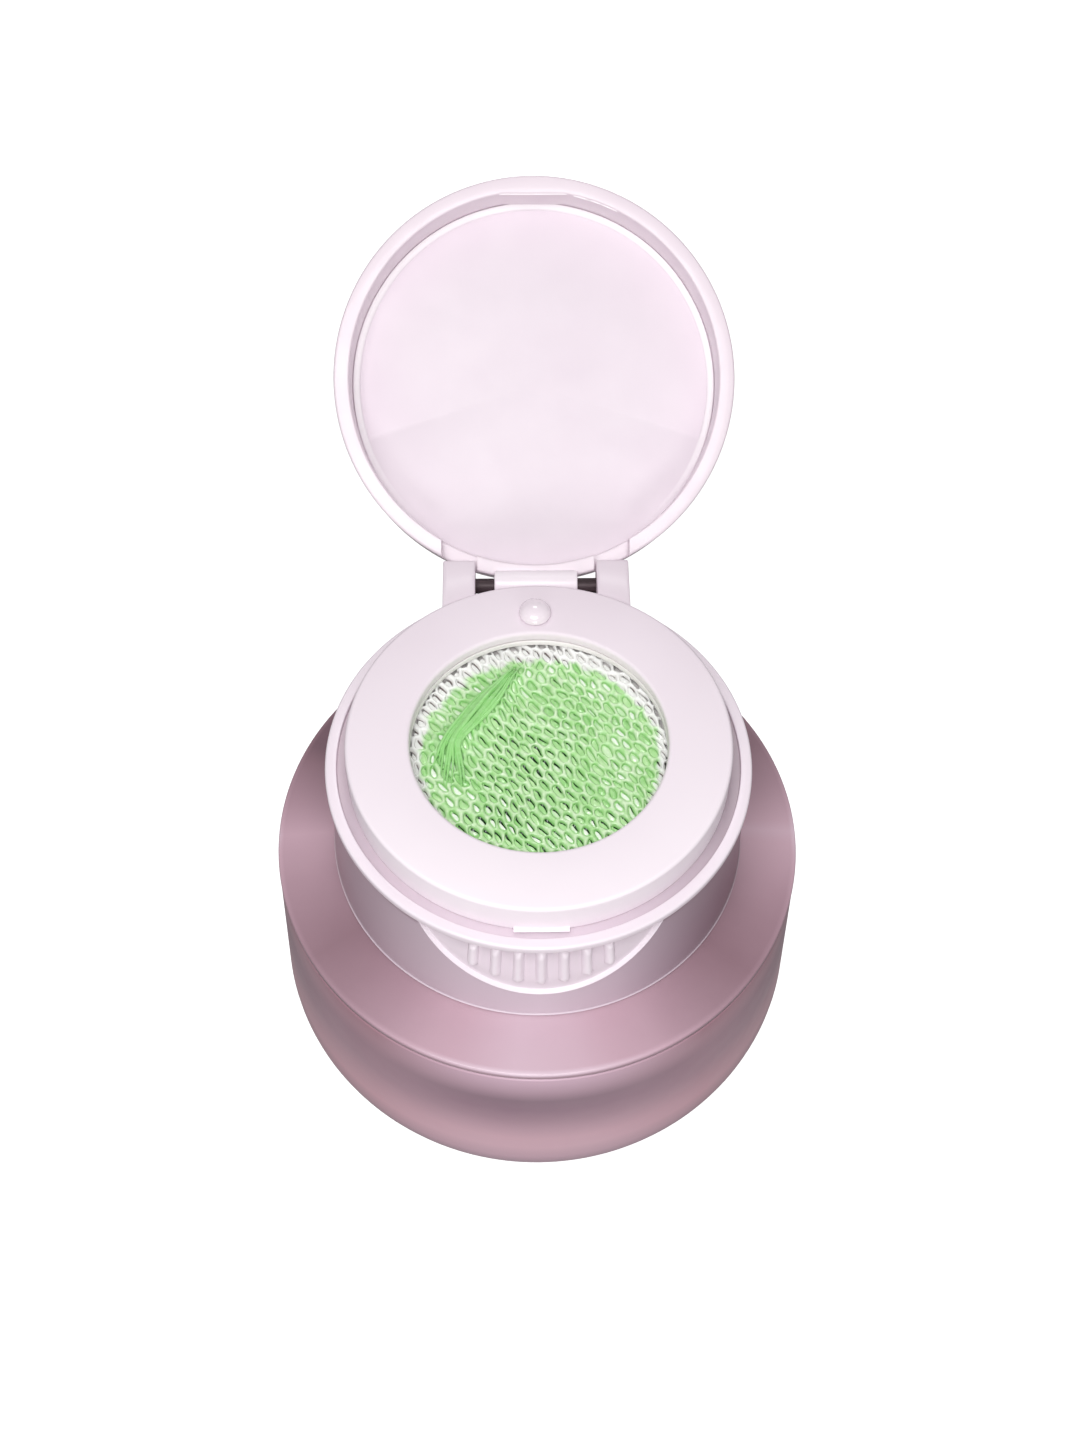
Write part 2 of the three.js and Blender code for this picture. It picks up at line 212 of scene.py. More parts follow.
class Look:
    """A node material, built up from noise, ramps and mixes."""

    def __init__(self, name, roughness, **sockets):
        self.material = bpy.data.materials.new(name)
        self.material.use_nodes = True
        self.tree = self.material.node_tree
        self.shader = self.tree.nodes["Principled BSDF"]
        self.place = self.tree.nodes.new("ShaderNodeTexCoord").outputs["Object"]
        self.shader.inputs["Roughness"].default_value = roughness
        for socket, value in sockets.items():
            self.shader.inputs[socket.replace("_", " ")].default_value = value

    def join(self, source, target):
        self.tree.links.new(source, target)

    def noise(self, scale, detail=3, stretch=None):
        """0 to 1 noise; scale is in features per metre."""
        node = self.tree.nodes.new("ShaderNodeTexNoise")
        node.inputs["Scale"].default_value = scale
        node.inputs["Detail"].default_value = detail
        place = self.place
        if stretch:
            mapping = self.tree.nodes.new("ShaderNodeMapping")
            mapping.inputs["Scale"].default_value = stretch
            self.join(place, mapping.inputs["Vector"])
            place = mapping.outputs["Vector"]
        self.join(place, node.inputs["Vector"])
        return node.outputs["Fac"]

    def span(self, value, low, high, to_low=0.0, to_high=1.0):
        """value from low..high to to_low..to_high, kept inside it."""
        node = self.tree.nodes.new("ShaderNodeMapRange")
        ends = {"From Min": low, "From Max": high, "To Min": to_low, "To Max": to_high}
        for socket, number in ends.items():
            node.inputs[socket].default_value = number
        self.join(value, node.inputs["Value"])
        return node.outputs["Result"]

    def axis(self, letter):
        node = self.tree.nodes.new("ShaderNodeSeparateXYZ")
        self.join(self.place, node.inputs["Vector"])
        return node.outputs[letter]

    def attribute(self, name):
        node = self.tree.nodes.new("ShaderNodeAttribute")
        node.attribute_name = name
        return node.outputs["Fac"]

    def mix(self, share, first, second):
        """Colours or outputs mixed by share."""
        node = self.tree.nodes.new("ShaderNodeMix")
        node.data_type = "RGBA"
        self.join(share, node.inputs["Factor"])
        for socket, colour in ((node.inputs[6], first), (node.inputs[7], second)):
            if isinstance(colour, tuple):
                socket.default_value = colour
            else:
                self.join(colour, socket)
        return node.outputs[2]

    def ramp(self, value, *stops):
        """Colour ramp of (position, colour) stops."""
        node = self.tree.nodes.new("ShaderNodeValToRGB")
        points = node.color_ramp.elements
        while len(points) < len(stops):
            points.new(0.5)
        for point, (position, colour) in zip(points, stops):
            point.position = position
            point.color = colour
        self.join(value, node.inputs["Fac"])
        return node.outputs["Color"]

    def colour(self, output):
        self.join(output, self.shader.inputs["Base Color"])
        return self

    def rough(self, low, high, scale):
        self.join(self.span(self.noise(scale), 0.3, 0.7, low, high), self.shader.inputs["Roughness"])
        return self

    def bump(self, height, depth):
        """depth is the real height of the bumps in millimetres."""
        node = self.tree.nodes.new("ShaderNodeBump")
        node.inputs["Strength"].default_value = 1
        node.inputs["Distance"].default_value = depth * MM
        self.join(height, node.inputs["Height"])
        self.join(node.outputs["Normal"], self.shader.inputs["Normal"])
        return self


def plastic(name, colour, shade, roughness, grain=0.006, pale_and_painted_light=None, **sockets):
    """Moulded plastic: a slow drift between two near colours, uneven gloss and a fine moulded grain."""
    look = Look(name, roughness, **sockets)
    body = look.mix(look.span(look.noise(55, 2), 0.35, 0.65), colour, shade)
    if pale_and_painted_light:
        body = look.mix(look.attribute("pale_and_painted_light"), body, pale_and_painted_light)
    look.colour(body)
    look.rough(roughness - 0.05, roughness + 0.06, 240)
    look.bump(look.noise(2600, 2), grain)
    return look.material


def plate_look(pale_and_painted_light):
    """The plate is painted a little darker towards the hinge, as painted shade."""
    look = Look("plate_pink_white", 0.55, Specular_IOR_Level=0.3)
    # painted shade, from the front to the back
    depth = look.span(look.axis("Y"), -PLATE_R * MM, PLATE_R * MM)
    painted_light_and_shade = look.mix(depth, rgb(252, 243, 249), rgb(232, 219, 228))
    body = look.mix(look.span(look.noise(55, 2), 0.35, 0.65, 0, 0.5), painted_light_and_shade, rgb(243, 232, 240))
    look.colour(look.mix(look.attribute("pale_and_painted_light"), body, pale_and_painted_light))
    look.rough(0.5, 0.62, 240)
    look.bump(look.noise(2600, 2), 0.006)
    return look.material


def frosted_wall():
    """Thick frosted wall: its colour changes with height, painted light and shade: a dark band under the
    shoulder, where its shadow falls, paler bands above and below it, and the sides darker than the front.
    """
    look = Look("frosted_wall", 0.42, Coat_Weight=0.25, Coat_Roughness=0.22)
    height = look.span(look.axis("Z"), 0, BOWL_TOP_Z * MM)
    # painted light and shade by height, in front and at the sides
    front = look.ramp(
        height,
        (0.00, rgb(186, 156, 168)),
        (0.30, rgb(194, 160, 175)),
        (0.43, rgb(222, 182, 195)),
        (0.51, rgb(218, 177, 190)),
        (0.59, rgb(196, 159, 173)),
        (0.67, rgb(171, 138, 152)),
        (0.75, rgb(151, 121, 136)),
        (0.83, rgb(144, 118, 131)),
        (0.90, rgb(184, 153, 168)),
        (0.98, rgb(212, 180, 197)),
    )
    side = look.ramp(
        height,
        (0.00, rgb(168, 136, 148)),
        (0.30, rgb(180, 144, 157)),
        (0.43, rgb(216, 168, 181)),
        (0.55, rgb(196, 154, 167)),
        (0.67, rgb(172, 137, 151)),
        (0.82, rgb(160, 126, 140)),
        (0.92, rgb(170, 132, 145)),
        (1.00, rgb(166, 124, 137)),
    )
    # painted shade: the sides darker than the front
    painted_side_shade = look.span(look.axis("Y"), -36.5 * MM, -29 * MM)
    painted_light_and_shade = look.mix(painted_side_shade, front, side)
    look.colour(look.mix(look.span(look.noise(70), 0.3, 0.7, 0, 0.08), painted_light_and_shade, rgb(232, 204, 213)))
    look.rough(0.38, 0.5, 300)
    look.bump(look.noise(5200, 3), 0.008)
    return look.material


def frosted_shoulder():
    """The shoulder is painted pale in front as a painted reflection, and darker behind as painted shadow
    under the cap and lid.
    """
    look = Look("frosted_shoulder", 0.38, Coat_Weight=0.25, Coat_Roughness=0.15)
    painted_light_zones = look.ramp(
        look.attribute("pale_and_painted_light"),     # here it holds the painted light and shade of shoulder_painted_light
        (0.00, rgb(116, 87, 98)),
        (0.15, rgb(142, 110, 121)),
        (0.50, rgb(173, 140, 153)),
        (0.75, rgb(198, 164, 178)),
        (1.00, rgb(222, 199, 212)),
    )
    look.colour(look.mix(look.span(look.noise(60), 0.3, 0.7, 0, 0.06), painted_light_zones, rgb(222, 196, 206)))
    look.rough(0.36, 0.46, 300)
    look.bump(look.noise(5200, 3), 0.008)
    return look.material


def skirt_look(pale_and_painted_light):
    """Translucent skirt with painted shade: darker towards its sides, darkest towards its right side."""
    look = Look("skirt_lilac", 0.34, Coat_Weight=0.15, Coat_Roughness=0.15)
    width = look.span(look.axis("X"), -SKIRT_BASE_R * MM, SKIRT_BASE_R * MM)
    # painted shade across the skirt, by X
    painted_light_and_shade = look.ramp(
        width,
        (0.00, rgb(168, 139, 150)),
        (0.07, rgb(173, 152, 164)),
        (0.18, rgb(190, 170, 182)),
        (0.33, rgb(206, 188, 200)),
        (0.50, rgb(214, 196, 208)),
        (0.67, rgb(200, 180, 193)),
        (0.80, rgb(168, 147, 160)),
        (0.92, rgb(134, 109, 122)),
        (1.00, rgb(120, 89, 101)),
    )
    body = look.mix(look.span(look.noise(40, 1), 0.3, 0.7, 0, 0.08), painted_light_and_shade, rgb(224, 212, 220))
    look.colour(look.mix(look.attribute("pale_and_painted_light"), body, pale_and_painted_light))
    look.rough(0.33, 0.37, 150)
    look.bump(look.noise(2600, 2), 0.006)
    return look.material


def cream_look():
    """Green cream, painted dark as shade in the slots deep between the strands, with painted highlights
    where it bulges, pale where it is wiped thin.
    """
    look = Look("cream", 0.2, Coat_Weight=0.5, Coat_Roughness=0.06)
    drift = look.span(look.noise(300, 3), 0.35, 0.65)
    body = look.mix(drift, rgb(160, 218, 138), rgb(202, 240, 180))
    # painted highlight on the cream's bulges
    painted_blob_highlights = look.mix(look.span(look.attribute("light"), 0.55, 0.95), body, rgb(246, 255, 240))
    pale_and_painted_light = look.mix(look.attribute("bare"), painted_blob_highlights, rgb(240, 241, 238))
    # painted shade of the slots: near black green, grey in the outer ring
    painted_slot_shade = look.mix(look.attribute("bare"), rgb(22, 58, 26), rgb(140, 128, 126))
    look.colour(look.mix(look.span(look.attribute("depth"), 0.15, 0.6), pale_and_painted_light, painted_slot_shade))
    look.rough(0.14, 0.28, 900)
    look.bump(look.noise(1500, 3), 0.06)
    return look.material


def net_look():
    """White knitted yarn, coated with cream but for its outer ring; painted shade darkens the strands'
    sides by the holes.
    """
    look = Look("net_yarn", 0.26, Coat_Weight=0.45, Coat_Roughness=0.1)
    drift = look.span(look.noise(900, 3), 0.38, 0.62)
    coat = look.mix(drift, rgb(184, 236, 160), rgb(228, 252, 212))
    richer = look.mix(look.attribute("fold"), coat, rgb(160, 226, 138))
    # painted shade: the strands' sides by the holes darker than their tops
    painted_strand_shade = look.mix(look.attribute("strand_shade"), richer, rgb(120, 184, 100))
    # bare yarn also takes the painted shade, grey by the holes
    bare = look.mix(look.attribute("strand_shade"), rgb(253, 254, 252), rgb(226, 224, 221))
    look.colour(look.mix(look.attribute("bare"), painted_strand_shade, bare))
    look.rough(0.18, 0.34, 900)
    fibres = look.noise(3800, 3, stretch=(1, 0.4, 1))
    look.bump(fibres, 0.07)
    return look.material


def steel():
    look = Look("pin_steel", 0.5, Metallic=0.4)
    lines = look.noise(900, 3, stretch=(0.15, 1, 1))
    # the pin's near-black brown is painted shade, for the deep shade in the hinge's gap
    look.colour(look.mix(look.span(lines, 0.35, 0.65), rgb(52, 40, 43), rgb(74, 60, 64)))
    look.rough(0.45, 0.55, 700)
    look.bump(lines, 0.006)
    return look.material


# ---------------------------------------------------------------- mesh tools
def smooth(value, low, high):
    """0 below low, 1 above high, with soft ends between."""
    share = min(1, max(0, (value - low) / (high - low)))
    return share * share * (3 - 2 * share)


def rounded(*corners, steps=4):
    """A closed outline of (radius, height, rounding) corners, each rounding drawn as an arc."""
    points = []
    for index, (r, z, rounding) in enumerate(corners):
        here = Vector((r, z))
        if rounding == 0:
            points.append((r, z))
            continue
        to_last = (Vector(corners[index - 1][:2]) - here).normalized()
        to_next = (Vector(corners[(index + 1) % len(corners)][:2]) - here).normalized()
        half = to_last.angle(to_next) / 2
        centre = here + (to_last + to_next).normalized() * rounding / math.sin(half)
        reach = rounding / math.tan(half)
        first = here + to_last * reach - centre
        last = here + to_next * reach - centre
        sweep = first.angle_signed(last)
        for step in range(steps + 1):
            spoke = first.copy()
            spoke.rotate(Matrix.Rotation(-sweep * step / steps, 2))
            points.append(tuple(centre + spoke))
    return points


def arc_points(centre, radius, start, end, steps, radius_z=None):
    """Points of an arc in an outline, both ends included, angles in degrees."""
    radius_z = radius_z or radius
    angles = [math.radians(start + (end - start) * i / steps) for i in range(steps + 1)]
    return [(centre[0] + radius * math.cos(a), centre[1] + radius_z * math.sin(a)) for a in angles]


def even_angles(count):
    return [FULL_TURN * i / count for i in range(count)]


def lathe(outline_at, angles):
    """A closed outline turned about Z. Angle 0 is the front (-Y) and angles grow towards +X.

    outline_at(angle) gives the same number of (radius, height, paleness) points at every angle;
    paleness may be left out. It becomes an attribute that the materials read: pale parts, painted
    highlights and painted shade.
    """
    bm = bmesh.new()
    pale_and_painted_light = bm.verts.layers.float.new("pale_and_painted_light")
    columns = []
    for angle in angles:
        across, along = math.sin(angle), -math.cos(angle)
        column = []
        for r, z, *mark in outline_at(angle):
            vertex = bm.verts.new((r * across, r * along, z))
            vertex[pale_and_painted_light] = mark[0] if mark else 0
            column.append(vertex)
        columns.append(column)
    for i, column in enumerate(columns):
        following = columns[(i + 1) % len(columns)]
        for j in range(len(column)):
            k = (j + 1) % len(column)
            bm.faces.new((column[j], following[j], following[k], column[k]))
    clean(bm)
    return bm


def clean(bm):
    """Merges what coincides, and turns the faces outwards."""
    bmesh.ops.remove_doubles(bm, verts=bm.verts, dist=1e-4)
    bmesh.ops.dissolve_degenerate(bm, edges=bm.edges, dist=1e-5)
    loose = [vertex for vertex in bm.verts if not vertex.link_faces]
    bmesh.ops.delete(bm, geom=loose, context="VERTS")
    bmesh.ops.recalc_face_normals(bm, faces=bm.faces)


def bevelled_box(low, high, rounding):
    bm = bmesh.new()
    size = Vector(high) - Vector(low)
    middle = (Vector(high) + Vector(low)) / 2
    bmesh.ops.create_cube(bm, matrix=Matrix.Translation(middle) @ Matrix.Diagonal((*size, 1)))
    bmesh.ops.bevel(bm, geom=bm.edges[:], offset=rounding, segments=3, profile=0.5, affect="EDGES")
    return bm


def bar_along_x(radius, x0, x1, y, z, rounding, segments=48):
    """A round bar along X with rounded ends."""
    outline = rounded((0, x0, 0), (radius, x0, rounding), (radius, x1, rounding), (0, x1, 0))
    bm = lathe(lambda angle: outline, even_angles(segments))
    turn = Matrix(((0, 0, 1, 0), (0, 1, 0, y), (-1, 0, 0, z), (0, 0, 0, 1)))
    bm.transform(turn)
    return bm


def joined(*parts):
    """One bmesh of several; the parts are freed."""
    whole = bmesh.new()
    for part in parts:
        data = bpy.data.meshes.new("part")
        part.to_mesh(data)
        part.free()
        whole.from_mesh(data)
        bpy.data.meshes.remove(data)
    return whole


def painted(bm, paleness):
    """bm with one paleness all over."""
    layer = bm.verts.layers.float.get("pale_and_painted_light") or bm.verts.layers.float.new("pale_and_painted_light")
    for vertex in bm.verts:
        vertex[layer] = paleness
    return bm


def piece(name, bm, body, material, nodes=(), crease=35, opened=False):
    """Makes an object of a bmesh in millimetres, ties it to its CAD body and hides the CAD nodes it
    replaces.
    """
    if opened:
        swing = Matrix.Rotation(-OPEN_ANGLE, 4, "X")
        bm.transform(Matrix.Translation(HINGE) @ swing @ Matrix.Translation(-HINGE))
    bm.transform(Matrix.Scale(MM, 4))
    for face in bm.faces:
        face.smooth = True
    for edge in bm.edges:
        if len(edge.link_faces) == 2 and edge.calc_face_angle() > math.radians(crease):
            edge.smooth = False
    data = bpy.data.meshes.new(name)
    bm.to_mesh(data)
    bm.free()
    data.materials.append(material)
    thing = bpy.data.objects.new(name, data)
    bpy.context.collection.objects.link(thing)
    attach(thing, body)
    if nodes:
        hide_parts(*nodes)
    return thing


# ---------------------------------------------------------------- jar
def jar_bowl(material):
    inside = BELLY_R - JAR_WALL
    outline = [
        (0, 0),
        *arc_points((BASE_R, BELLY_Z), BELLY_R - BASE_R, -90, 0, 20, BELLY_Z),
        *rounded(
            (BELLY_R, BELLY_Z, 0),
            (SHOULDER_R, BOWL_TOP_Z, 0.35),
            (SHOULDER_R - JAR_WALL, BOWL_TOP_Z, 0.3),
            (inside, BELLY_Z, 0),
        )[1:-1],
        *arc_points((BASE_R, BELLY_Z), inside - BASE_R, 0, -90, 12, BELLY_Z - JAR_WALL),
        (0, JAR_WALL),
    ]
    bm = lathe(lambda angle: outline, even_angles(192))
    return piece("jar_bowl", bm, "jar", material, ["outer_jar"])


# How pale the shoulder looks, by angle in degrees from the front: painted light and shade, pale as a
# painted reflection, dark as painted shadow behind, under the cap and lid.
SHOULDER_PAINTED_LIGHT = ((-180, 0.1), (-115, 0.02), (-90, 0.74), (-70, 0.36), (-58, 0.18), (-46, 0.32), (-25, 0.7),
                  (-5, 0.87), (8, 0.82), (25, 0.66), (42, 0.3), (52, 0.18), (66, 0.32), (90, 0.82),
                  (115, 0.2), (180, 0.1))
RIM_WIDTH = 0.4                   # of the shoulder's rim
RIM_EDGE = 0.32                   # height of the pale edge on top of the rim, a painted highlight
RIM_DARKER = 0.4
# how much paler the rim's edge is painted, a painted highlight
EDGE_HIGHLIGHT = 0.12


def shoulder_painted_light(angle, r, z):
    """The shoulder's painted light and shade by angle; its rim is dark below a painted highlight along its
    edge.
    """
    degrees = math.degrees((angle + math.pi) % FULL_TURN) - 180
    for (start, first), (end, last) in zip(SHOULDER_PAINTED_LIGHT, SHOULDER_PAINTED_LIGHT[1:]):
        if start <= degrees <= end:
            tone = first + (last - first) * (degrees - start) / (end - start)
            break
    if r <= SHOULDER_R - RIM_WIDTH:
        return tone
    return tone - RIM_DARKER if z < SHOULDER_EDGE_Z - RIM_EDGE else tone + EDGE_HIGHLIGHT


def shoulder_ring(material):
    hole = CUP_R + CUP_WALL + GAP
    under = SHOULDER_EDGE_Z - SHOULDER_RIM
    plug = SHOULDER_R - JAR_WALL - GAP
    outline = rounded(
        (hole, under, 0),
        (plug - 1.4, under, 0),
        (plug - 1.4, under - 3.5, 0.2),
        (plug, under - 3.5, 0.2),
        (plug, under, 0),
        (SHOULDER_R, under, 0.25),
        (SHOULDER_R, SHOULDER_EDGE_Z, 0.3),
        (SHOULDER_R - 0.8, SHOULDER_EDGE_Z + 0.12, 0),
        (SKIRT_BASE_R, SHOULDER_TOP_Z, 0),
        (hole, SHOULDER_TOP_Z, 0.3),
    )
    bm = lathe(lambda angle: [(r, z, shoulder_painted_light(angle, r, z)) for r, z in outline], even_angles(192))
    return piece("shoulder_ring", bm, "jar", material, ["jar_shoulder"])


def cream_pot(material):
    """The cream in the cup and in the throat above it; its surface under the net is made apart."""
    low, high = cad("cream_fill")
    throat = OPENING_R - 0.6
    outline = rounded(
        (0, low.z, 0),
        (high.x, low.z, 3.5),
        (high.x, CREAM_LEVEL_Z, 0.4),
        (throat, CREAM_LEVEL_Z, 0.4),
        (throat, CREAM_THROAT_Z, 0.4),
        (0, CREAM_THROAT_Z, 0),
        steps=6,
    )
    bm = lathe(lambda angle: outline, even_angles(96))
    return piece("cream_pot", bm, "jar", material, ["cream_fill"])


# ---------------------------------------------------------------- cap
RECESS_TOP_Z = FLANGE_TOP_Z - FLANGE_T
RECESS_DROP = RECESS_TOP_Z - RECESS_LOW_Z
RECESS_ARC_R = (RECESS_HALF ** 2 + RECESS_DROP ** 2) / (2 * RECESS_DROP)
RIB_COUNT = 7
RIB_PITCH = math.radians(6.2)
RIB_HEIGHT = 0.9
LEDGE_WIDTH = 0.6
RECESS_FADE = 0.6                 # the recess has its full depth this far below the flange
SKIRT_INSET = 0.12                # of the skirt's wall, behind its foot and the recess's lip
LIP_ROLL = 0.17                   # how far the recess's lip stands off the skirt
ARM_CORNER = 0.9
ARM_SLICES = 8
# How pale the cap is: skirt, the skirt's foot (a painted highlight line), the recess's floor, the groove
# (painted shade), the arms, the flange.
NO_PALE, FOOT_HIGHLIGHT, RECESS_PALE, GROOVE_SHADE, ARM_PALE, FULL_PALE = 0, 0.5, 0.62, 0.35, 0.75, 1


def recess_edge(angle):
    """Height of the recess's lower edge at an angle from the front; the flange's underside beside it."""
    across = abs(math.sin(angle)) * SKIRT_TOP_R
    if math.cos(angle) < 0 or across >= RECESS_HALF:
        return RECESS_TOP_Z
    return RECESS_LOW_Z + RECESS_ARC_R - math.sqrt(RECESS_ARC_R ** 2 - across ** 2)


def rib(angle, z):
    """How far a grip rib stands off the recess's floor: short upright ribs along the recess's arc."""
    number = round(angle / RIB_PITCH)
    if abs(number) > RIB_COUNT // 2:
        return 0
    aside = abs(angle - number * RIB_PITCH) / (RIB_PITCH * 0.23)
    foot = recess_edge(number * RIB_PITCH) + 2.0
    head = RECESS_TOP_Z - 2.2
    along = abs(z - (foot + head) / 2) / ((head - foot) / 2)
    if aside >= 1 or along >= 1:
        return 0
    return RIB_HEIGHT * math.sqrt(1 - aside ** 2) * min(1, 4 * (1 - along)) ** 0.5


def skirt_r(z):
    share = (z - SKIRT_BASE_Z) / (RECESS_TOP_Z - SKIRT_BASE_Z)
    return SKIRT_BASE_R + (SKIRT_TOP_R - SKIRT_BASE_R) * share


def cap_outline(angle):
    """The skirt's outline: the wall up to the recess's edge, the ledge, the recess's floor, the flange."""
    signed = (angle + math.pi) % FULL_TURN - math.pi
    edge = recess_edge(signed)
    depth = min(1, (RECESS_TOP_Z - edge) / RECESS_FADE)
    floor = skirt_r(edge) - LEDGE_WIDTH * depth
    round_edge, round_foot = 0.2 * depth, 0.25 * depth
    base = skirt_r(SKIRT_BASE_Z)
    points = [
        (SKIRT_INNER_R, SKIRT_BASE_Z, NO_PALE),
        # the skirt's foot is painted pale, a painted highlight line along its base
        (base - 0.1, SKIRT_BASE_Z, FOOT_HIGHLIGHT),
        (base, SKIRT_BASE_Z + 0.1, FOOT_HIGHLIGHT),
        (base, SKIRT_BASE_Z + 0.22, FOOT_HIGHLIGHT),
        (base - 0.16, SKIRT_BASE_Z + 0.34, NO_PALE),
    ]
    low = SKIRT_BASE_Z + 0.45
    for i in range(9):
        z = low + (edge - round_edge - low) * i / 8
        points.append((skirt_r(z) - SKIRT_INSET, z, NO_PALE))
    lip = skirt_r(edge) - SKIRT_INSET + LIP_ROLL * depth
    # the recess's lip and ledge are painted pale, a painted highlight
    points += [
        (lip, edge - round_edge, depth),
        (lip - round_edge * 0.3, edge - round_edge * 0.3, depth),
        (lip - round_edge, edge, depth),
        (floor + round_foot, edge, depth),
        (floor + round_foot * 0.3, edge + round_foot * 0.3, depth),
        (floor, edge + round_foot, RECESS_PALE * depth),
    ]
    rows = 24
    for i in range(1, rows + 1):
        z = edge + round_foot + (RECESS_TOP_Z - edge - round_foot) * i / rows
        sloped = floor + (RECESS_FLOOR_R - floor) * smooth(i / rows, 0, 0.8)
        wall = (skirt_r(z) - SKIRT_INSET) * (1 - depth) + sloped * depth
        # rib tops are painted paler, a painted highlight
        stands = depth * rib(signed, z)
        points.append((wall + stands, z, depth * min(1, RECESS_PALE + 1.2 * stands)))
    flange = rounded(
        (FLANGE_R, RECESS_TOP_Z, 0.3),
        (FLANGE_R, FLANGE_TOP_Z, 0.35),
        (GROOVE_R, FLANGE_TOP_Z, 0.15),
        (GROOVE_R, FLANGE_TOP_Z - GROOVE_DEPTH, 0.12),
        (GROOVE_FLOOR_R, FLANGE_TOP_Z - GROOVE_DEPTH, 0),
        (GROOVE_FLOOR_R, FLANGE_TOP_Z - GROOVE_DEPTH - 0.15, 0),
        (SKIRT_INNER_R, FLANGE_TOP_Z - GROOVE_DEPTH - 0.15, 0),
    )
    # the groove's floor is painted darker, painted shade
    groove_top = FLANGE_TOP_Z - GROOVE_DEPTH + 0.2
    for r, z in flange:
        in_groove = r < GROOVE_R + 0.1 and z < groove_top
        points.append((r, z, GROOVE_SHADE if in_groove else FULL_PALE))
    return [(barrel_room(signed, r, z), z, pale_and_painted_light) for r, z, pale_and_painted_light in points]


def barrel_room(angle, r, z):
    """The radius, cut back where the lid's barrel turns behind the flange."""
    across = r * abs(math.sin(angle))
    limit = HINGE.y - BARREL_R - GAP
    behind = -math.cos(angle)
    if behind <= 0 or across > BARREL_HALF + GAP or z < HINGE.z - BARREL_R - GAP:
        return r
    return min(r, limit / behind)


def cap_angles():
    """Fine steps round the recess in front and the barrel's room behind, coarser between."""
    front = [math.radians(0.35 * i) for i in range(-105, 106)]
    rest = [math.radians(a) for a in range(39, 322, 2)]
    behind = math.asin((BARREL_HALF + GAP) / FLANGE_R)
    steps = [math.pi + side * (behind + shift) for side in (-1, 1) for shift in (-0.002, 0.002)]
    return sorted(front + rest + steps)


def hinge_arm(side):
    """One of the two arms that hold the pin. Its inner face follows the plate's round side."""
    x0, x1 = sorted((side * ARM_IN, side * ARM_OUT))
    low, top, back = RECESS_TOP_Z + 0.3, HINGE.z + ARM_R, HINGE.y + ARM_R
    corner = arc_points((back - ARM_CORNER, top - ARM_CORNER), ARM_CORNER, 90, 0, 6)
    under = arc_points((HINGE.y, HINGE.z), ARM_R, 0, -90, 6)
    bm = bmesh.new()
    slices = []
    for i in range(ARM_SLICES + 1):
        x = x0 + (x1 - x0) * i / ARM_SLICES
        inner = math.sqrt((PLATE_R + 0.15) ** 2 - x ** 2)
        profile = [(inner, low), (inner, top), *corner, *under]
        slices.append([bm.verts.new((x, y, z)) for y, z in profile])
    bm.faces.new(slices[0])
    bm.faces.new(slices[-1])
    for first, second in zip(slices, slices[1:]):
        for i in range(len(first)):
            j = (i + 1) % len(first)
            bm.faces.new((first[i], first[j], second[j], second[i]))
    bmesh.ops.recalc_face_normals(bm, faces=bm.faces)
    rims = [e for e in bm.edges if e.calc_face_angle() > math.radians(60)]
    bmesh.ops.bevel(bm, geom=rims, offset=0.2, segments=2, profile=0.5, affect="EDGES")
    return bm


def screw_cap(material):
    skirt = lathe(cap_outline, cap_angles())
    bm = joined(skirt, painted(hinge_arm(-1), ARM_PALE), painted(hinge_arm(1), ARM_PALE))
    return piece("screw_cap", bm, "cap", material, ["cap_shell"])


def ring_plate(material):
    outline = rounded(
        (OPENING_R, PLATE_TOP_Z - PLATE_T, 0.15),
        (PLATE_R - PLATE_T, PLATE_TOP_Z - PLATE_T, 0),
        (PLATE_R - PLATE_T, PLATE_FOOT_Z, 0),
        (PLATE_R, PLATE_FOOT_Z, 0.1),
        (PLATE_R, PLATE_TOP_Z, 0.5),
        (OPENING_R, PLATE_TOP_Z, 0.5),
        steps=6,
    )
    ring = lathe(lambda angle: outline, even_angles(192))
    half = CATCH_WIDTH / 2
    low = FLANGE_TOP_Z - GROOVE_DEPTH + 0.3
    catch = bevelled_box((-half, -PLATE_R - CATCH_REACH, low), (half, -PLATE_R + 0.6, low + 0.25), 0.08)
    bm = joined(ring, painted(catch, FULL_PALE))
    return piece("ring_plate", bm, "cap", material, ["top_ring"])


def bumper(material):
    radius = (BUMPER_HIGH.x - BUMPER_LOW.x) / 2
    height = BUMPER_HIGH.z - BUMPER_LOW.z
    foot = 0.1
    dome = arc_points((0, BUMPER_LOW.z + foot), radius, 0, 90, 14, height - foot)
    outline = [(0, BUMPER_LOW.z), (radius - foot, BUMPER_LOW.z), *dome]
    bm = lathe(lambda angle: outline, even_angles(48))
    bm.transform(Matrix.Translation((BUMPER_ASIDE, (BUMPER_LOW.y + BUMPER_HIGH.y) / 2, 0)))
    return piece("lid_bumper", bm, "cap", material, ["stop_bumper"])


def opening_frame(material):
    outline = rounded(
        (OPENING_R, FRAME_FOOT_Z, 0.15),
        (NET_R + GAP, FRAME_FOOT_Z, 0),
        (NET_R + GAP, PLATE_FOOT_Z, 0),
        (FRAME_R, PLATE_FOOT_Z, 0.1),
        (FRAME_R, FRAME_TOP_Z, 0.1),
        (OPENING_R, FRAME_TOP_Z, 0.15),
    )
    bm = lathe(lambda angle: outline, even_angles(144))
    return piece("opening_frame", bm, "cap", material, ["net_frame"])


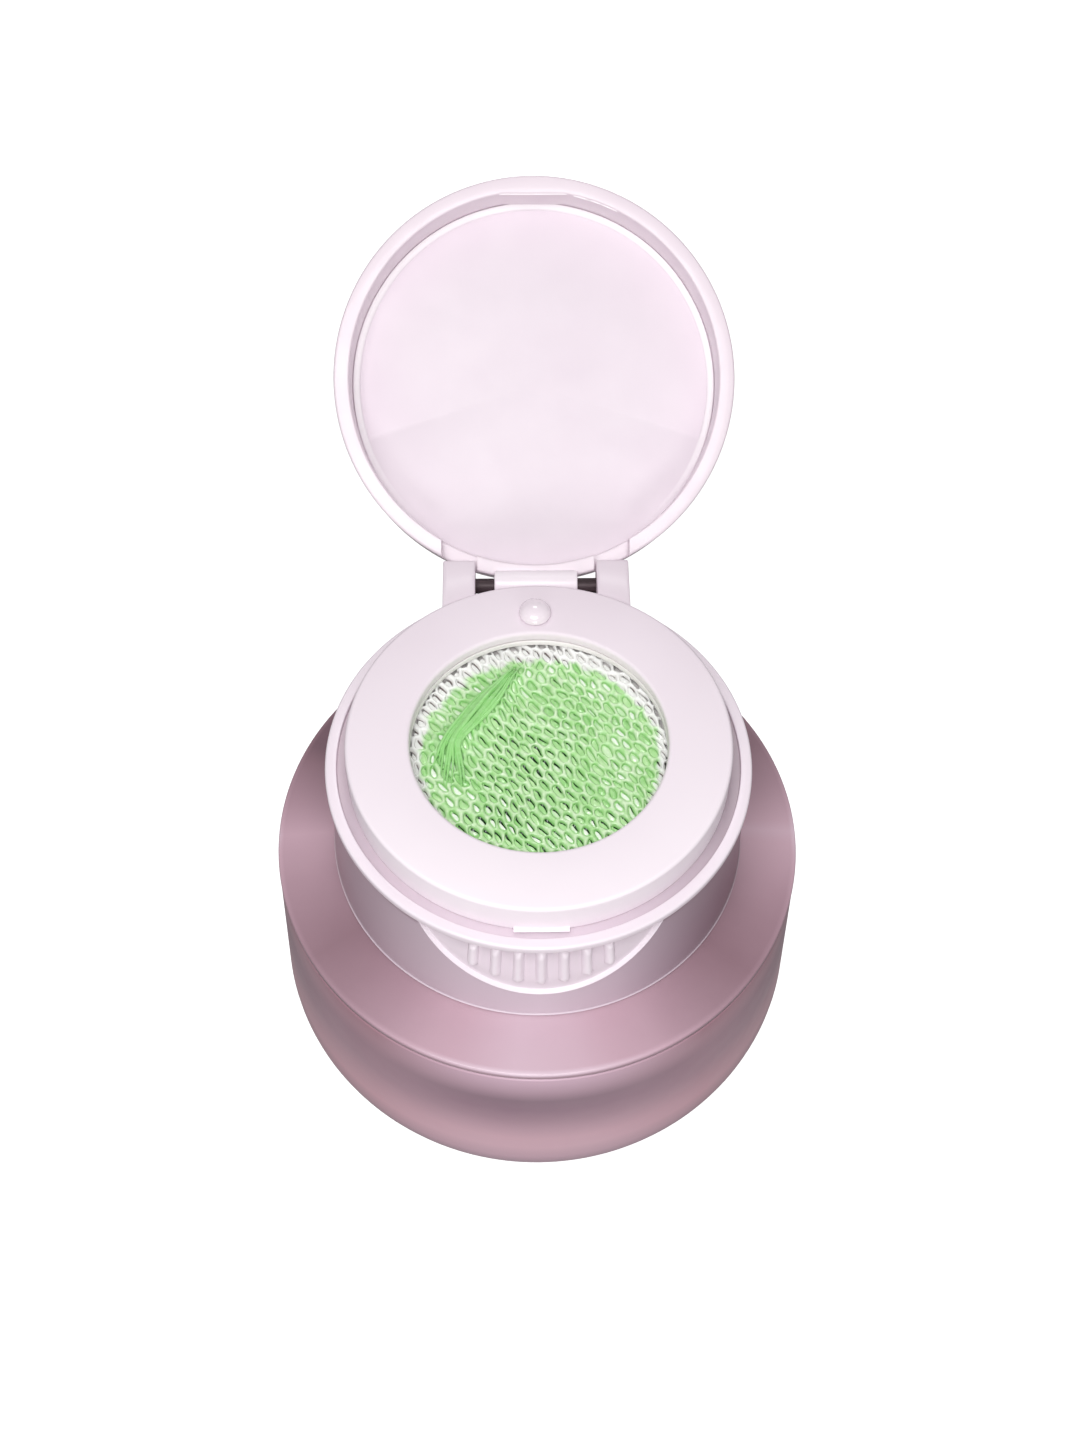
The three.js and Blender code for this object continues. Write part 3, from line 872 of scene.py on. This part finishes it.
def pin(material):
    radius = PIN_R + PIN_THICKER
    bm = bar_along_x(radius, PIN_LOW.x, PIN_HIGH.x, HINGE.y - PIN_FORWARD, HINGE.z - PIN_DROP, 0.15)
    return piece("steel_pin", bm, "cap", material, ["hinge_pin"])


# ---------------------------------------------------------------- lid
def notch_edges():
    """Angles, from the hinge side, between which the lip is cut over each arm."""
    return math.asin((ARM_IN - 0.25) / LID_R), math.asin((ARM_OUT + 0.25) / LID_R)


def square_notches(bm):
    """Draws the wall's vertices near the notches sideways, so that the notches' sides are straight."""
    for vertex in bm.verts:
        reach = vertex.co.xy.length
        if vertex.co.y < 0 or reach < LID_INNER_R - 1:
            continue
        turn = math.degrees(math.asin(min(1, abs(vertex.co.x) / reach)))
        weight = smooth(turn, 8, 15) * (1 - smooth(turn, 30, 45))
        across = abs(vertex.co.x) * (1 + weight * (LID_R / reach - 1))
        vertex.co.x = math.copysign(across, vertex.co.x)
        vertex.co.y = math.sqrt(max(0, reach ** 2 - across ** 2))


def lid_outline(angle):
    """The lid's wall and top as one closed outline, cut at the lip over the hinge arms."""
    signed = (angle + math.pi) % FULL_TURN - math.pi
    from_hinge = math.pi - abs(signed)
    first, last = notch_edges()
    lip = LIP_Z + (NOTCH_H if first < from_hinge < last else 0)
    floor = LIP_Z + LID_DEPTH + LINER_T + 0.3
    top = floor + LID_TOP_T
    inner = min(LID_INNER_R, CHORD_Y / max(0.5, math.cos(signed)))
    return rounded(
        (0, floor, 0),
        (inner, floor, 0),
        (inner, lip, 0.25),
        (LID_R, lip, 0.35),
        (LID_R, top, 1.6),
        (0, top, 0),
        steps=5,
    )


def lid_angles():
    chord = [math.radians(0.75 * i) for i in range(-16, 17)]
    rest = [math.radians(a) for a in range(14, 347, 2)]
    cuts = [math.pi + side * (edge + shift) for side in (-1, 1) for edge in notch_edges()
            for shift in (-0.001, 0.001)]
    return sorted(chord + rest + cuts)


def lip_ridge(degrees, half, reach):
    """A fine raised line of the moulding inside the lip, at an angle from the front, painted pale as a
    highlight.
    """
    low = (-half, -reach - 0.2, LIP_Z + 0.2)
    high = (half, -reach + 0.14, LIP_Z + 0.42)
    bm = bevelled_box(low, high, 0.06)
    bm.transform(Matrix.Rotation(math.radians(degrees), 4, "Z"))
    return painted(bm, FULL_PALE)


def flip_lid(material):
    shell = lathe(lid_outline, lid_angles())
    square_notches(shell)
    ridges = [lip_ridge(0, 4.7, CHORD_Y)]
    ridges += [lip_ridge(angle, 1.3, LID_INNER_R) for angle in LIP_MARKS]
    barrel = bar_along_x(BARREL_R, -BARREL_HALF, BARREL_HALF, HINGE.y, HINGE.z, 0.2)
    bm = joined(shell, painted(barrel, FULL_PALE), *ridges)
    return piece("flip_lid", bm, "lid", material, ["lid_shell"], opened=True)


def lid_pad(material):
    """The lid's inner face. A low pale bead round its edge meets the wall and dies out at the hinge."""
    face = LIP_Z + LID_DEPTH
    edge = LID_INNER_R + 0.04

    def outline_at(angle):
        bead = smooth(math.cos(angle), -0.85, -0.1)
        return [
            (0, face, 0),
            (edge - 1.15, face, 0),
            (edge - 0.9, face - 0.22 * bead, bead),
            (edge - 0.55, face - 0.32 * bead, bead),
            (edge - 0.2, face - 0.3 * bead, bead),
            (edge, face, 0),
            (edge, face + LINER_T, 0),
            (0, face + LINER_T, 0),
        ]

    bm = lathe(outline_at, even_angles(192))
    return piece("lid_pad", bm, "lid", material, ["lid_liner"], opened=True)


# ---------------------------------------------------------------- net and cream
CELL_ACROSS = Vector((1.50, -0.58))     # from one cell of the knit to the next in its row
CELL_ALONG = Vector((0.72, -1.98))      # from one row to the next
HOLE_ALONG = CELL_ALONG.normalized()
HOLE_ACROSS = CELL_ACROSS.normalized()
HOLE_WIDTH = (0.42, 0.14)               # half of a hole's width: least, and how much more it may be
HOLE_LENGTH = (0.70, 0.24)
NET_MARKS = ("bare", "fold", "strand_shade")     # the net's attributes that its material reads
STRAND_DEPTH = 0.42                     # from the top of a strand down to the hole beside it
SLOT_DEPTH = 0.4                        # of the slots in the cream, seen through the holes and painted dark as shade
TRIM_MARGIN = 0.9                       # how far beyond its radius a sheet's points are still pulled in
FOLD_CORDS = 13
FOLD_POINTS = 36                        # along each strand of the fold
FOLD_SAMPLE = 14                        # the one of them that gives the strand its bareness
FOLD_TOP = Vector((-2.8, 12.4))
FOLD_FOOT = Vector((-11.4, 1.2))
FOLD_TAIL = Vector((-11.8, -6.2))
PUCKER = Vector((9.2, -4.5))


def fold_frame(point):
    """(distance beside the fold's line, share along it) of a point."""
    along = FOLD_FOOT - FOLD_TOP
    length = along.length
    along.normalize()
    away = point - FOLD_TOP
    side = away.x * -along.y + away.y * along.x
    return side, away.dot(along) / length


def fold_strength(point):
    side, share = fold_frame(point)
    width = 1.0 + 1.3 * max(0, share)
    return math.exp(-(side / width) ** 2) * smooth(share, -0.12, 0.12) * (1 - smooth(share, 0.9, 1.5))


def drawn(point):
    """Where a point of the flat knit lies once it is gathered into the fold and pulled about."""
    side, share = fold_frame(point)
    along = (FOLD_FOOT - FOLD_TOP).normalized()
    beside = Vector((-along.y, along.x))
    reach = smooth(share, -0.35, 0.1) * (1 - smooth(share, 0.8, 1.9))
    gathered = point - beside * (0.62 * side * math.exp(-(side / 3.4) ** 2) * reach)
    from_pucker = gathered - PUCKER
    gathered = gathered - from_pucker * 0.35 * math.exp(-from_pucker.length_squared / 5)
    drift = noise.noise_vector(Vector((gathered.x * 0.16, gathered.y * 0.16, 3.1)))
    jitter = noise.noise_vector(Vector((gathered.x * 0.9, gathered.y * 0.9, 8.7)))
    return gathered + Vector((drift.x, drift.y)) * 0.9 + Vector((jitter.x, jitter.y)) * 0.3


def net_height(point):
    """Top of the net: a shallow dome with the fold and the puckers standing on it."""
    dome = (NET_HIGH_Z - 0.25) - 0.5 * (point.length / NET_R) ** 2
    waves = noise.noise(Vector((point.x * 0.3, point.y * 0.3, 1.7))) * 0.22
    return dome + waves + 1.0 * fold_strength(point)


def bareness(point):
    """1 where the yarn carries no cream: the outer ring, wider on the hinge side."""
    centre = Vector((0.15, -1.0))
    ragged = 0.9 * noise.noise(Vector((point.x * 0.8, point.y * 0.8, 5.3)))
    return smooth((point - centre).length + ragged, 15.1, 15.9)


def knit_cells():
    """(centre, corner offsets) of every cell of the flat knit that lies on the net."""
    row = (CELL_ALONG - CELL_ACROSS / 2) / (math.sqrt(3) / 2)
    corners = []
    for i in range(6):
        a = math.radians(30 + 60 * i)
        corners.append(CELL_ACROSS * math.cos(a) / math.sqrt(3) + row * math.sin(a) / math.sqrt(3))
    ring = []
    for i in range(6):
        ring += [corners[i], (corners[i] + corners[(i + 1) % 6]) / 2]
    cells = []
    for i in range(-30, 31):
        for j in range(-30, 31):
            centre = CELL_ACROSS * i + CELL_ALONG * j
            if centre.length < NET_R + 3:
                cells.append((centre, ring))
    return cells


def ring_angle(i):
    """Angle of a point in a cell's ring of twelve."""
    return math.radians(30 + 30 * i)


def hole_outline(ring, width, length):
    """Offsets of a hole's outline, pointed at its far end, in step with its cell's corners."""
    outline = []
    for i in range(len(ring)):
        a = ring_angle(i)
        swell = 1 + 0.22 * math.sin(a)
        outline.append(HOLE_ACROSS * width * math.cos(a) * swell + HOLE_ALONG * length * math.sin(a))
    return outline


def strand_rings(centre, ring, width, length):
    """Points of one cell from the middle of its strands to the hole, as (place, height, strand shade)
    rings; the strand shade is painted shade, none on the strand's top, full at the hole's edge.
    """
    hole = hole_outline(ring, width, length)
    rings = []
    for share, height, strand_shade in ((0.0, 0.0, 0), (0.55, -0.08, 0.3), (1.0, -STRAND_DEPTH, 1)):
        points = []
        for cell, inner in zip(ring, hole):
            points.append((centre + cell.lerp(inner, share), height, strand_shade))
        rings.append(points)
    return rings


def add_rings(bm, rings, layers, cap_last):
    """Bands of quads between rings, with their layers filled; the last ring is closed if asked."""
    made = []
    for ring in rings:
        loop = []
        for place, z, values in ring:
            vertex = bm.verts.new((place.x, place.y, z))
            for layer, value in zip(layers, values):
                vertex[layer] = value
            loop.append(vertex)
        made.append(loop)
    for outer, inner in zip(made, made[1:]):
        for i in range(len(outer)):
            j = (i + 1) % len(outer)
            bm.faces.new((outer[i], outer[j], inner[j], inner[i]))
    if cap_last:
        middle = bm.verts.new(sum((v.co for v in made[-1]), Vector()) / len(made[-1]))
        for layer in layers:
            middle[layer] = sum(v[layer] for v in made[-1]) / len(made[-1])
        for i in range(len(made[-1])):
            bm.faces.new((made[-1][i], made[-1][(i + 1) % len(made[-1])], middle))


def trimmed(bm, radius):
    """Keeps what lies inside a radius: points beyond it are pulled in, or deleted if far out."""
    far = [v for v in bm.verts if v.co.xy.length > radius + TRIM_MARGIN]
    bmesh.ops.delete(bm, geom=far, context="VERTS")
    for vertex in bm.verts:
        reach = vertex.co.xy.length
        if reach > radius:
            vertex.co.x *= radius / reach
            vertex.co.y *= radius / reach


def add_cord(bm, layers, path, radius, values):
    """A thin round strand through the points of path."""
    sides = 8
    loops = []
    for i, here in enumerate(path):
        ahead = (path[min(i + 1, len(path) - 1)] - path[max(i - 1, 0)]).normalized()
        beside = ahead.cross(Vector((0, 0, 1))).normalized()
        above = beside.cross(ahead)
        thin = radius * math.sqrt(max(0.02, math.sin(math.pi * (i + 0.5) / len(path))))
        loop = []
        for k in range(sides):
            a = FULL_TURN * k / sides
            vertex = bm.verts.new(here + (beside * math.cos(a) + above * math.sin(a)) * thin)
            for layer, value in zip(layers, values):
                vertex[layer] = value
            loop.append(vertex)
        loops.append(loop)
    for first, second in zip(loops, loops[1:]):
        for k in range(sides):
            j = (k + 1) % sides
            bm.faces.new((first[k], first[j], second[j], second[k]))
    bm.faces.new(loops[0])
    bm.faces.new(loops[-1])


def fold_line(share):
    """The middle of the fold, from its top past its foot (share 0.62) to the end of its tail."""
    bend = 0.62
    top = FOLD_TOP.lerp(FOLD_FOOT, min(1, share / bend))
    tail = FOLD_FOOT.lerp(FOLD_TAIL, max(0, (share - bend) / (1 - bend)))
    return top if share < bend else tail


def fold_strands(material):
    """Strands of the net bunched side by side and twisted along the fold, spreading at its tail."""
    bm = bmesh.new()
    layers = [bm.verts.layers.float.new(name) for name in NET_MARKS]
    rand = random.Random(3)
    beside = Vector((FOLD_TOP.y - FOLD_FOOT.y, FOLD_FOOT.x - FOLD_TOP.x)).normalized()
    for k in range(FOLD_CORDS):
        lane = (k - (FOLD_CORDS - 1) / 2) / FOLD_CORDS
        start = 0.16 * rand.random() ** 2
        end = 0.66 + 0.34 * rand.random()
        phase = rand.random() * FULL_TURN
        path = []
        for i in range(FOLD_POINTS):
            share = start + (end - start) * i / (FOLD_POINTS - 1)
            bunch = 0.9 + 1.7 * smooth(share, 0, 0.3) + 2.6 * smooth(share, 0.55, 1)
            across = lane * bunch + 0.16 * math.sin(phase + 9 * share)
            middle = (fold_line(share - 0.06) + fold_line(share) + fold_line(share + 0.06)) / 3
            turned = beside.lerp(Vector((1, -0.1)), smooth(share, 0.5, 0.75))
            place = middle + turned * across
            lift = 0.12 + 0.16 * math.sin(phase + 1.6 + 7 * share)
            path.append(Vector((place.x, place.y, net_height(place) + lift)))
        thickness = 0.2 + 0.12 * rand.random()
        # each cord of the fold takes a random share of the strands' painted shade
        values = (bareness(path[FOLD_SAMPLE].xy), 0.9, 0.25 * rand.random())
        add_cord(bm, layers, path, thickness, values)
    bmesh.ops.recalc_face_normals(bm, faces=bm.faces)
    thing = piece("fold_strands", bm, "cap", material, crease=180)
    apply_subdivision(thing)
    return thing


def knitted_net(material):
    bm = bmesh.new()
    layers = [bm.verts.layers.float.new(name) for name in NET_MARKS]
    rand = random.Random(7)
    for centre, ring in knit_cells():
        snug = 1 - 0.25 * fold_strength(centre)
        width = (HOLE_WIDTH[0] + HOLE_WIDTH[1] * rand.random()) * snug
        length = (HOLE_LENGTH[0] + HOLE_LENGTH[1] * rand.random()) * snug
        rings = []
        for points in strand_rings(centre, ring, width, length):
            loop = []
            for flat, drop, strand_shade in points:
                place = drawn(flat)
                values = (bareness(place), fold_strength(place), strand_shade)
                loop.append((place, net_height(place) + drop, values))
            rings.append(loop)
        add_rings(bm, rings, layers, cap_last=False)
    bmesh.ops.remove_doubles(bm, verts=bm.verts, dist=MERGE)
    trimmed(bm, NET_R)
    bmesh.ops.recalc_face_normals(bm, faces=bm.faces)
    thing = piece("knitted_net", bm, "cap", material, ["net"], crease=180)
    apply_subdivision(thing)
    fold_strands(material)
    return thing


def apply_subdivision(thing):
    """One level of smoothing, kept in the mesh."""
    thing.modifiers.new("smooth", "SUBSURF").levels = 1
    bpy.context.view_layer.update()
    graph = bpy.context.evaluated_depsgraph_get()
    data = bpy.data.meshes.new_from_object(thing.evaluated_get(graph))
    thing.modifiers.clear()
    thing.data = data


def gap_strength(place):
    """How open the holes are: open in the middle and lower middle, filled with cream elsewhere."""
    middle = math.exp(-((place.x + 1.4) / 6.2) ** 4 - ((place.y + 2.8) / 8.0) ** 4)
    patches = noise.noise(Vector((place.x * 0.3, place.y * 0.3, 9.4)))
    lower = 0.45 * smooth(-place.y, 6, 12)
    return max(0, 0.12 + 0.55 * middle + lower + 0.3 * patches + 0.5 * bareness(place))


def cream_surface(material):
    """The cream under the net: it bulges through each hole, leaving a slot at the hole's far end, painted
    dark as shade.
    """
    bm = bmesh.new()
    layers = [bm.verts.layers.float.new(name) for name in ("depth", "bare", "light")]
    rand = random.Random(11)
    floor = NET_LOW_Z - 0.9
    for centre, ring in knit_cells():
        if centre.length > OPENING_R + 1.2:
            continue
        openness = gap_strength(drawn(centre)) * (0.55 + 0.8 * rand.random())
        bulge = 0.05 + 0.2 * rand.random()
        # how strongly each bulge takes the painted highlight
        light = rand.random() * (0.75 + 0.5 * smooth(centre.length, 7, 12))
        hole = hole_outline(ring, HOLE_WIDTH[0], HOLE_LENGTH[0])
        rings = [[(centre + offset, 0, 0) for offset in ring]]
        for share in (1.0, 0.8, 0.6, 0.4, 0.2):
            loop = []
            for i, offset in enumerate(hole):
                a = ring_angle(i)
                edge = 0.95 - 0.8 * openness
                slot = smooth(share * (0.55 * math.cos(a) - 0.8 * math.sin(a)), edge, edge + 0.25)
                slot *= min(1, 0.4 + openness)
                loop.append((centre + offset * share, slot, bulge * (1 - share * share)))
            rings.append(loop)
        placed = []
        for loop in rings:
            level = []
            for flat, slot, swell in loop:
                place = drawn(flat)
                z = net_height(place) - STRAND_DEPTH + swell * (1 - slot) - SLOT_DEPTH * slot
                # depth carries the slots' painted shade, light the bulges' painted highlight
                values = (slot, bareness(place), light if swell else 0)
                level.append((place, max(floor, z), values))
            placed.append(level)
        add_rings(bm, placed, layers, cap_last=True)
    bmesh.ops.remove_doubles(bm, verts=bm.verts, dist=MERGE)
    trimmed(bm, OPENING_R - 0.2)
    bmesh.ops.recalc_face_normals(bm, faces=bm.faces)
    thing = piece("cream_surface", bm, "cap", material, crease=180)
    apply_subdivision(thing)
    return thing


# ---------------------------------------------------------------- build
make_camera()
make_lights()
make_floor()

white_pink = rgb(250, 241, 247)
pink_white = plastic("pink_white", rgb(247, 236, 243), rgb(243, 231, 239), 0.42, pale_and_painted_light=white_pink,
                     Coat_Weight=0.15)
lid_plastic = plastic("lid_pink_white", rgb(236, 223, 231), rgb(232, 218, 227), 0.38, pale_and_painted_light=white_pink,
                      Coat_Weight=0.15)
pad_plastic = plastic("pad_pink_white", rgb(233, 222, 230), rgb(230, 218, 227), 0.55,
                      pale_and_painted_light=rgb(255, 250, 253))
ivory = plastic("ivory", rgb(244, 240, 239), rgb(238, 233, 232), 0.4)
liner_white = plastic("liner_white", rgb(240, 238, 236), rgb(232, 230, 228), 0.7, grain=0.02)
bumper_clear = plastic("bumper_clear", rgb(246, 234, 242), rgb(240, 228, 236), 0.14, grain=0.002,
                       Coat_Weight=0.6, Coat_Roughness=0.05)
cream = cream_look()

jar_bowl(frosted_wall())
shoulder_ring(frosted_shoulder())
cream_pot(cream)
screw_cap(skirt_look(rgb(243, 232, 240)))
ring_plate(plate_look(white_pink))
bumper(bumper_clear)
opening_frame(ivory)
pin(steel())
flip_lid(lid_plastic)
lid_pad(pad_plastic)
knitted_net(net_look())
cream_surface(cream)

for node, material in (("inner_cup", pink_white), ("inner_cap", ivory), ("net_clamp_ring", ivory),
                       ("sealing_liner", liner_white)):
    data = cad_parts[node].data
    data.materials.clear()
    data.materials.append(material)

bpy.context.scene.view_settings.view_transform = "Standard"
